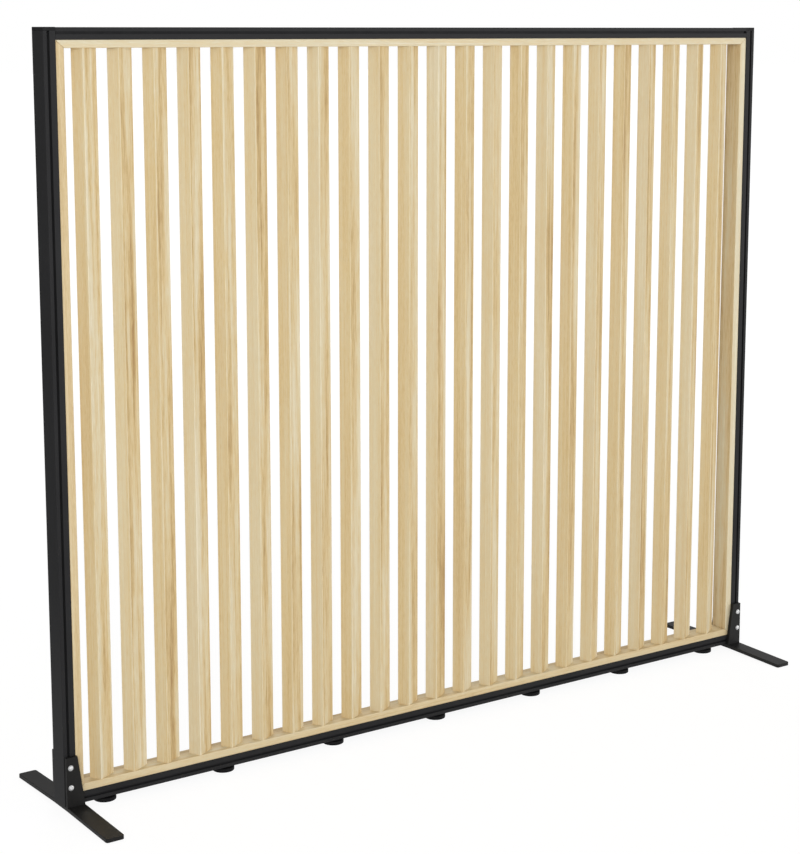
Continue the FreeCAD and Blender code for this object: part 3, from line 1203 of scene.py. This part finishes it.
# ---- slats ---------------------------------------------------------------------------------------
@dataclass
class SlatRow:
    """Row of turned timber slats between the sill and the head."""

    count: int = 23
    width: float = 0.044
    thickness: float = 0.027
    angle: float = math.radians(30)
    end_margin: float = 0.04925
    arris: float = 0.0012
    arris_steps: int = 5
    board_set: int = 4
    seed: int = 11
    narrow_tone: float = 0.57
    narrow_lift: float = 0.13
    wide_tone: float = 0.545
    wide_lift: float = 0.05
    narrow_figure: float = 0.3
    wide_figure: float = 1.25
    # Painted highlight: tone added on the faces of the eased arrises.
    painted_arris_highlight: float = 0.14

    def build(self) -> None:
        """Makes all the slats as one piece."""
        sill_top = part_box("liner_sill")[1].z
        head_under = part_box("liner_head")[0].z
        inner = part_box("liner_jamb_right")[0].x
        values = {
            "Material": SLAT_TIMBER.material(),
            "Count": self.count,
            "Pitch": 2 * (inner - self.end_margin) / (self.count - 1),
            "Width": self.width,
            "Thickness": self.thickness,
            "Arris": self.arris,
            "Arris Steps": self.arris_steps,
            "Foot": sill_top,
            "Top": head_under,
            "Angle": self.angle,
            "Board Set": self.board_set,
            "Seed": self.seed,
            "Narrow Tone": self.narrow_tone,
            "Narrow Lift": self.narrow_lift,
            "Wide Tone": self.wide_tone,
            "Wide Lift": self.wide_lift,
            "Narrow Figure": self.narrow_figure,
            "Wide Figure": self.wide_figure,
            "Arris Lift": self.painted_arris_highlight,
        }
        piece = self.tree().made("turned_slats", values)
        piece.data.shade_flat()
        dress(piece, SLAT_TIMBER)
        nodes = [f"slat_{number:02d}" for number in range(1, self.count + 1)]
        stand_for(piece, SCREEN, *nodes)

    @staticmethod
    def tree() -> ShapeGraph:
        """Builds the tree: one eased slat, copied along the sill, each with its own board.

        Returns:
            The tree.
        """
        narrow_over = 0.7
        eased_between = (0.05, 0.995)
        grain_spread = (2.0, 2.0, 7.0)
        last_share = 0.3
        graph = ShapeGraph("slat_row")
        count, arris_steps, board_set, seed = graph.numbers(
            "Count", "Arris Steps", "Board Set", "Seed", kind="NodeSocketInt"
        )
        pitch, width, thickness, arris = graph.numbers("Pitch", "Width", "Thickness", "Arris")
        foot, top, angle, painted_arris_highlight = graph.numbers("Foot", "Top", "Angle", "Arris Lift")
        narrow_tone, narrow_lift, narrow_figure = graph.numbers(
            "Narrow Tone", "Narrow Lift", "Narrow Figure"
        )
        wide_tone, wide_lift, wide_figure = graph.numbers("Wide Tone", "Wide Lift", "Wide Figure")
        section = graph.out(
            "Curve",
            "GeometryNodeCurvePrimitiveQuadrilateral",
            {"mode": "RECTANGLE"},
            {"Width": width, "Height": thickness},
        )
        eased = graph.out(
            "Curve",
            "GeometryNodeFilletCurve",
            {"mode": "POLY"},
            {"Curve": section, "Count": arris_steps, "Radius": arris},
        )
        line = graph.out(
            "Curve",
            "GeometryNodeCurvePrimitiveLine",
            {"mode": "POINTS"},
            {"Start": graph.combine(0.0, 0.0, foot), "End": graph.combine(0.0, 0.0, top)},
        )
        place = graph.out("Position", "GeometryNodeInputPosition")
        body = graph.store(graph.swept(line, eased), "grain", place, "FLOAT_VECTOR")
        normal = graph.out("Normal", "GeometryNodeInputNormal")
        facing = graph.out("X", "ShaderNodeSeparateXYZ", None, {"Vector": normal})
        sideways = abs(graph.signal(facing))
        body = graph.store(body, "narrow", sideways > narrow_over, "FLOAT", "FACE")
        # Faces of the eased arrises, which get the painted highlight.
        painted_highlight_faces = (sideways > eased_between[0]) * (sideways < eased_between[1])
        body = graph.store(body, "eased", painted_highlight_faces, "FLOAT", "FACE")
        row = graph.out(
            "Mesh",
            "GeometryNodeMeshLine",
            {"mode": "OFFSET", "count_mode": "TOTAL"},
            {
                "Count": count,
                "Start Location": graph.combine((count - 1.0) * pitch * -0.5, 0.0, 0.0),
                "Offset": graph.combine(pitch, 0.0, 0.0),
            },
        )
        copies = graph.copied(row, body, graph.combine(0.0, 0.0, angle))
        index = graph.out("Index", "GeometryNodeInputIndex")
        slats = graph.real(graph.store(copies, "board", index, "FLOAT", "INSTANCE"))
        board = graph.signal(graph.read("board"))
        offset = graph.out(
            0,
            "FunctionNodeRandomValue",
            {"data_type": "FLOAT_VECTOR"},
            {0: (0.0, 0.0, 0.0), 1: grain_spread, "ID": board, "Seed": seed},
        )
        grain = graph.vector("ADD", graph.read("grain", "FLOAT_VECTOR"), offset)
        slats = graph.store(slats, "grain", grain, "FLOAT_VECTOR")
        in_set = board % board_set
        narrow = graph.signal(graph.read("narrow"))
        wide = 1.0 - narrow
        is_odd = in_set % 2.0
        is_first = in_set < 0.5
        is_last = in_set > board_set - 1.5
        on_narrow = narrow_tone + is_odd * narrow_lift
        on_wide = wide_tone + is_first * wide_lift + is_last * wide_lift * last_share
        tone = narrow * on_narrow + wide * on_wide
        # Painted highlight: the eased arris faces are made lighter.
        tone = tone + graph.signal(graph.read("eased")) * painted_arris_highlight
        slats = graph.store(slats, "tone", tone, "FLOAT", "FACE")
        figure = narrow * narrow_figure + wide * wide_figure
        graph.close(graph.store(slats, "figure", figure, "FLOAT", "FACE"))
        return graph


# ---- feet ----------------------------------------------------------------------------------------
@dataclass
class Feet:
    """Flat steel bars and the tapered plates that hold the posts, with their screws."""

    bar_rounding: float = 0.0007
    plate_rounding: float = 0.0006
    flange_radius: float = 0.0055
    flange_thickness: float = 0.0009
    dome_radius: float = 0.0045
    dome_height: float = 0.0022
    crown_radius: float = 0.003
    socket_flats: float = 0.003
    socket_depth: float = 0.0018
    socket_tip: float = 0.0004
    socket_tip_share: float = 0.3
    edge_rounding: float = 0.0002
    ring_steps: int = 36
    dome_steps: int = 6

    def build(self) -> None:
        """Makes the bars, the plates and the screws."""
        for end in End:
            label = end.name.lower()
            bar = softened(f"foot_bar_{label}", f"steel_foot_{label}", self.bar_rounding)
            dress(bar, STEEL_COAT)
            stand_for(bar, SCREEN, f"foot_bar_{label}")
            for side in Side:
                node = f"foot_plate_{label}_{side.name.lower()}"
                plate = softened(node, f"steel_{node.removeprefix('foot_')}", self.plate_rounding)
                dress(plate, STEEL_COAT)
                stand_for(plate, SCREEN, node)
        self.screws()

    def screws(self) -> None:
        """Sets a flanged screw in each hole of the plates."""
        low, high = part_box("foot_screws")
        screw_x = high.x - self.flange_radius
        plate_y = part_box("foot_plate_left_back")[1].y
        heights = (low.z + self.flange_radius, high.z - self.flange_radius)
        turns = {Side.FRONT: 0.0, Side.BACK: math.pi}
        places = [
            ((end.value * screw_x, side.value * plate_y, height), turns[side])
            for end in End
            for side in Side
            for height in heights
        ]
        piece = CopyTree().spread(
            "plate_screws", self.head(), BRIGHT_STEEL, places, lean=math.radians(90)
        )
        dress(piece, BRIGHT_STEEL)
        stand_for(piece, SCREEN, "foot_screws")

    def head(self) -> bpy.types.Mesh:
        """Makes one head: flange, dome, flat crown and hexagon socket.

        Returns:
            The head's mesh, upright on the origin.
        """
        top = self.flange_thickness + self.dome_height
        edge = self.edge_rounding
        rings = [
            Ring(self.flange_radius - edge, 0.0),
            Ring(self.flange_radius, edge),
            Ring(self.flange_radius, self.flange_thickness - edge),
            Ring(self.flange_radius - edge, self.flange_thickness),
            Ring(self.dome_radius + edge, self.flange_thickness),
        ]
        centre = (self.crown_radius, self.flange_thickness + edge)
        across = self.dome_radius - self.crown_radius
        dome = arc(centre, across, self.dome_height - edge, 0.0, 90.0, self.dome_steps)
        rings += [Ring(reach, height) for reach, height in dome]
        half = self.socket_flats / 2
        floor = top - self.socket_depth
        rings += [
            Ring(half + edge, top, True),
            Ring(half, top - edge, True),
            Ring(half, floor, True),
            Ring(half * self.socket_tip_share, floor - self.socket_tip),
        ]
        return turned("screw_head", rings, self.ring_steps)


# ---- levelling glides ----------------------------------------------------------------------------
@dataclass
class Glides:
    """Round plastic pads on threaded studs, each on its own body."""

    count: int = 7
    pad_rim: float = 0.0225
    pad_edge: float = 0.001
    shoulder: float = 0.0015
    hub_radius: float = 0.0075
    dish: float = 0.0006
    underside_ring: float = 0.004
    hollow_reach: float = 0.002
    hollow_depth: float = 0.0004
    hub_foot: float = 0.0004
    hub_edge: float = 0.0003
    ring_steps: int = 64
    rim_steps: int = 4
    thread_pitch: float = 0.00125
    thread_depth: float = 0.00065
    stud_radius: float = 0.004
    thread_steps: int = 20

    def build(self) -> None:
        """Makes a pad and a stud for every glide."""
        copier = CopyTree()
        thread = self.thread_tree()
        for number in range(1, self.count + 1):
            body = f"glide_{number}"
            low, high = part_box(f"glide_pad_{number}")
            middle = (low.x + high.x) / 2
            place = [((middle, 0.0, 0.0), 0.0)]
            pad = copier.spread(f"levelling_pad_{number}", self.pad(high.z), PAD_PLASTIC, place)
            dress(pad, PAD_PLASTIC)
            stand_for(pad, body, f"glide_pad_{number}")
            stud_low, stud_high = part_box(f"glide_stud_{number}")
            values = {
                "Material": ZINC_STEEL.material(),
                "Place": (middle, 0.0, 0.0),
                "Foot": stud_low.z,
                "Top": stud_high.z,
                "Radius": self.stud_radius,
                "Pitch": self.thread_pitch,
                "Depth": self.thread_depth,
                "Steps": self.thread_steps,
            }
            stud = thread.made(f"threaded_stud_{number}", values)
            dress(stud, ZINC_STEEL)
            stand_for(stud, body, f"glide_stud_{number}")

    def pad(self, top: float) -> bpy.types.Mesh:
        """Makes one pad: rounded rims, a slightly dished top and a low hub.

        Args:
            top: Height of the hub's top over the floor.

        Returns:
            The pad's mesh, on the origin.
        """
        rim_top = top - self.dish
        edge = (self.pad_rim - self.pad_edge, self.pad_edge)
        shoulder = (self.pad_rim - self.shoulder, rim_top - self.shoulder)
        outline = arc(edge, self.pad_edge, self.pad_edge, -90.0, 90.0, self.rim_steps)
        outline += arc(shoulder, self.shoulder, self.shoulder, 0.0, 90.0, self.rim_steps)
        rings = [Ring(edge[0] - self.underside_ring, 0.0)]
        rings += [Ring(reach, height) for reach, height in outline]
        rings += [
            Ring(self.hub_radius + self.hollow_reach, rim_top - self.hollow_depth),
            Ring(self.hub_radius + self.hub_foot, rim_top - self.hub_foot / 2),
            Ring(self.hub_radius, rim_top + self.hub_foot / 2),
            Ring(self.hub_radius - self.hub_edge, top),
        ]
        return turned("glide_pad", rings, self.ring_steps)

    @staticmethod
    def thread_tree() -> ShapeGraph:
        """Builds the tree of a stud: a core and one ridge that winds up it.

        Returns:
            The tree.
        """
        core_sides = 24
        ridge_sides = 4
        graph = ShapeGraph("threaded_stud")
        place = graph.option("Place", "NodeSocketVector")
        steps = graph.option("Steps", "NodeSocketInt")
        foot, top, radius, pitch, depth = graph.numbers("Foot", "Top", "Radius", "Pitch", "Depth")
        core_radius = radius - depth
        run = top - foot - pitch
        core = graph.out(
            "Mesh",
            "GeometryNodeMeshCylinder",
            {"fill_type": "NGON"},
            {"Vertices": core_sides, "Radius": core_radius, "Depth": top - foot},
        )
        winding = graph.out(
            "Curve",
            "GeometryNodeCurveSpiral",
            None,
            {
                "Resolution": steps,
                "Rotations": run / pitch,
                "Start Radius": core_radius,
                "End Radius": core_radius,
                "Height": run,
            },
        )
        section = graph.out(
            "Curve",
            "GeometryNodeCurvePrimitiveCircle",
            {"mode": "RADIUS"},
            {"Resolution": ridge_sides, "Radius": depth},
        )
        inputs = {"Curve": winding}
        upright = graph.out("Curve", "GeometryNodeSetCurveNormal", {"mode": "Z_UP"}, inputs)
        ridge = graph.swept(upright, section)
        both = graph.add("GeometryNodeJoinGeometry")
        for piece, height in ((core, (foot + top) * 0.5), (ridge, foot + pitch * 0.5)):
            shift = graph.vector("ADD", place, graph.combine(0.0, 0.0, height))
            inputs = {"Geometry": piece, "Translation": shift}
            moved = graph.out("Geometry", "GeometryNodeTransform", None, inputs)
            graph.feed(both.inputs["Geometry"], moved)
        graph.close(both.outputs["Geometry"])
        return graph


# ---- hidden fixings ------------------------------------------------------------------------------
@dataclass
class HiddenFixings:
    """Keys, biscuits, dowels, screws and nuts inside the frame, kept as their CAD nodes."""

    keys: str = "corner_keys"
    timber: tuple[str, str] = ("liner_biscuits", "slat_dowels")
    steel: tuple[str, str, str] = ("slat_screws", "slot_nuts", "glide_nuts")

    def build(self) -> None:
        """Dresses every hidden piece."""
        keep_node(self.keys, KEY_ALUMINIUM)
        for node in self.timber:
            keep_node(node, DOWEL_BEECH)
        for node in self.steel:
            keep_node(node, ZINC_STEEL)


# ---- studio --------------------------------------------------------------------------------------
@dataclass(frozen=True)
class Lamp:
    """A large soft lamp."""

    name: str
    place: Point
    width: float
    height: float
    watts: float
    aim: Point = (0.0, 0.0, 0.8)

    def build(self) -> None:
        """Puts the lamp in the scene, turned to its aim."""
        data = bpy.data.lights.new(self.name, "AREA")
        data.shape = "RECTANGLE"
        data.size = self.width
        data.size_y = self.height
        data.energy = self.watts
        lamp = bpy.data.objects.new(self.name, data)
        lamp.location = self.place
        way = Vector(self.aim) - Vector(self.place)
        lamp.rotation_euler = way.to_track_quat("-Z", "Y").to_euler()
        bpy.context.scene.collection.objects.link(lamp)


@dataclass
class Studio:
    """Pale floor, soft light and the camera at the photograph's angle."""

    camera_place: Point = (-2.4057, -3.3245, 1.4963)
    camera_pitch: float = 9.01
    camera_turn: float = 35.01
    lens: float = 81.84
    shift_x: float = -0.0076
    shift_y: float = -0.1038
    floor_half: float = 60.0
    floor_z: float = -0.0004
    view_reach: float = 200.0
    white: Colour = (1.0, 1.0, 1.0, 1.0)
    black: Colour = (0.0, 0.0, 0.0, 1.0)
    ambient: float = 0.42
    floor_colour: Colour = (0.9, 0.9, 0.9, 1.0)
    floor_white: float = 0.85
    floor_glow: float = 1.07
    shadow_reach: float = 3.5
    shadow_core: float = 0.5
    far_side: Point = (-0.57, 0.82, 0.0)
    floor_fall: float = 0.4
    world_fall: float = 1.4
    far_base: float = 0.25
    far_dimming: float = 0.8

    def build(self) -> None:
        """Sets the world, the floor, the lamps and the camera."""
        scene = bpy.context.scene
        scene.view_settings.view_transform = "Standard"
        self.world()
        self.floor()
        for lamp in (
            Lamp("right_softbox", (4.0, -5.2, 1.3), width=4.6, height=2.2, watts=136.0),
            Lamp("left_softbox", (-4.2, -5.1, 2.2), width=3.0, height=2.6, watts=188.0),
            Lamp("back_softbox", (1.8, 4.3, 4.9), width=3.0, height=2.0, watts=95.0),
        ):
            lamp.build()
        self.camera()

    @staticmethod
    def seen_directly(graph: ShaderGraph) -> Signal:
        """Tells what the camera, a mirror or glass sees from light that falls on a surface.

        Args:
            graph: The graph to add to.

        Returns:
            One for what is seen, and zero for light.
        """
        path = graph.add("ShaderNodeLightPath")
        seen = graph.signal(path.outputs["Is Camera Ray"])
        for kind in ("Is Glossy Ray", "Is Transmission Ray"):
            seen = seen.larger(graph.signal(path.outputs[kind]))
        return seen

    def mirrored_far_side(self, graph: ShaderGraph, place: Any, rise: float) -> Signal:
        """Finds the studio's far side where a surface mirrors it, which is left unlit.

        Args:
            graph: The graph to add to.
            place: The place on the floor, or the way to the world's white.
            rise: How fast the light falls off along it.

        Returns:
            The share from 0 to 1 by which the white is dimmed there.
        """
        mirrored = graph.signal(graph.out("Is Glossy Ray", "ShaderNodeLightPath"))
        along = graph.signal(graph.vector("DOT_PRODUCT", place, self.far_side, output="Value"))
        far = (along * rise + self.far_base).limited()
        return mirrored * far * self.far_dimming

    def world(self) -> None:
        """Makes a world that is white to the eye and lights the object more softly."""
        world = bpy.data.worlds.new("studio_world")
        graph = ShaderGraph.of(world)
        soft: Colour = (self.ambient, self.ambient, self.ambient, 1.0)
        tint = graph.blend(self.seen_directly(graph), soft, self.white)
        heading = graph.out("Generated", "ShaderNodeTexCoord")
        dark = self.mirrored_far_side(graph, heading, self.world_fall)
        inputs = {"Color": graph.blend(dark, tint, self.black), "Strength": 1.0}
        background = graph.out("Background", "ShaderNodeBackground", None, inputs)
        graph.add("ShaderNodeOutputWorld", None, {"Surface": background})
        bpy.context.scene.world = world

    def floor(self) -> None:
        """Makes the pale floor, which keeps a soft shadow."""
        half = self.floor_half
        corners = [(-half, -half), (half, -half), (half, half), (-half, half)]
        mesh = bpy.data.meshes.new("studio_floor")
        mesh.from_pydata([Vector((x, y, self.floor_z)) for x, y in corners], [], [[0, 1, 2, 3]])
        floor = new_object("studio_floor", mesh)
        material = bpy.data.materials.new("pale_floor")
        graph = ShaderGraph.of(material)
        place = graph.object_place()
        away = graph.signal(graph.vector("LENGTH", place, output="Value"))
        clear = (away / self.shadow_reach - self.shadow_core).limited()
        share = self.seen_directly(graph) * (self.floor_white + clear * (1.0 - self.floor_white))
        lit = graph.out("BSDF", "ShaderNodeBsdfDiffuse", None, {"Color": self.floor_colour})
        dark = self.mirrored_far_side(graph, place, self.floor_fall)
        inputs = {
            "Color": graph.blend(dark, self.white, self.black),
            "Strength": self.floor_glow,
        }
        glow = graph.out("Emission", "ShaderNodeEmission", None, inputs)
        mixed = graph.out("Shader", "ShaderNodeMixShader", None, {0: share, 1: lit, 2: glow})
        graph.add("ShaderNodeOutputMaterial", None, {"Surface": mixed})
        mesh.materials.append(material)

    def camera(self) -> None:
        """Sets the camera where the photograph was taken from."""
        data = bpy.data.cameras.new("photo_camera")
        data.lens = self.lens
        data.shift_x = self.shift_x
        data.shift_y = self.shift_y
        data.clip_end = self.view_reach
        camera = bpy.data.objects.new("photo_camera", data)
        camera.location = self.camera_place
        camera.rotation_euler = (
            math.radians(90 - self.camera_pitch),
            0.0,
            math.radians(-self.camera_turn),
        )
        bpy.context.scene.collection.objects.link(camera)
        bpy.context.scene.camera = camera


def main() -> None:
    """Builds the screen's sub-assemblies in order, then the studio round it."""
    logging.basicConfig(level=logging.INFO, format="%(message)s")
    for assembly in (BlackFrame(), TimberLiner(), SlatRow(), Feet(), Glides(), HiddenFixings()):
        LOG.info("building %s", type(assembly).__name__)
        assembly.build()
    Studio().build()


if __name__ == "__main__":
    main()
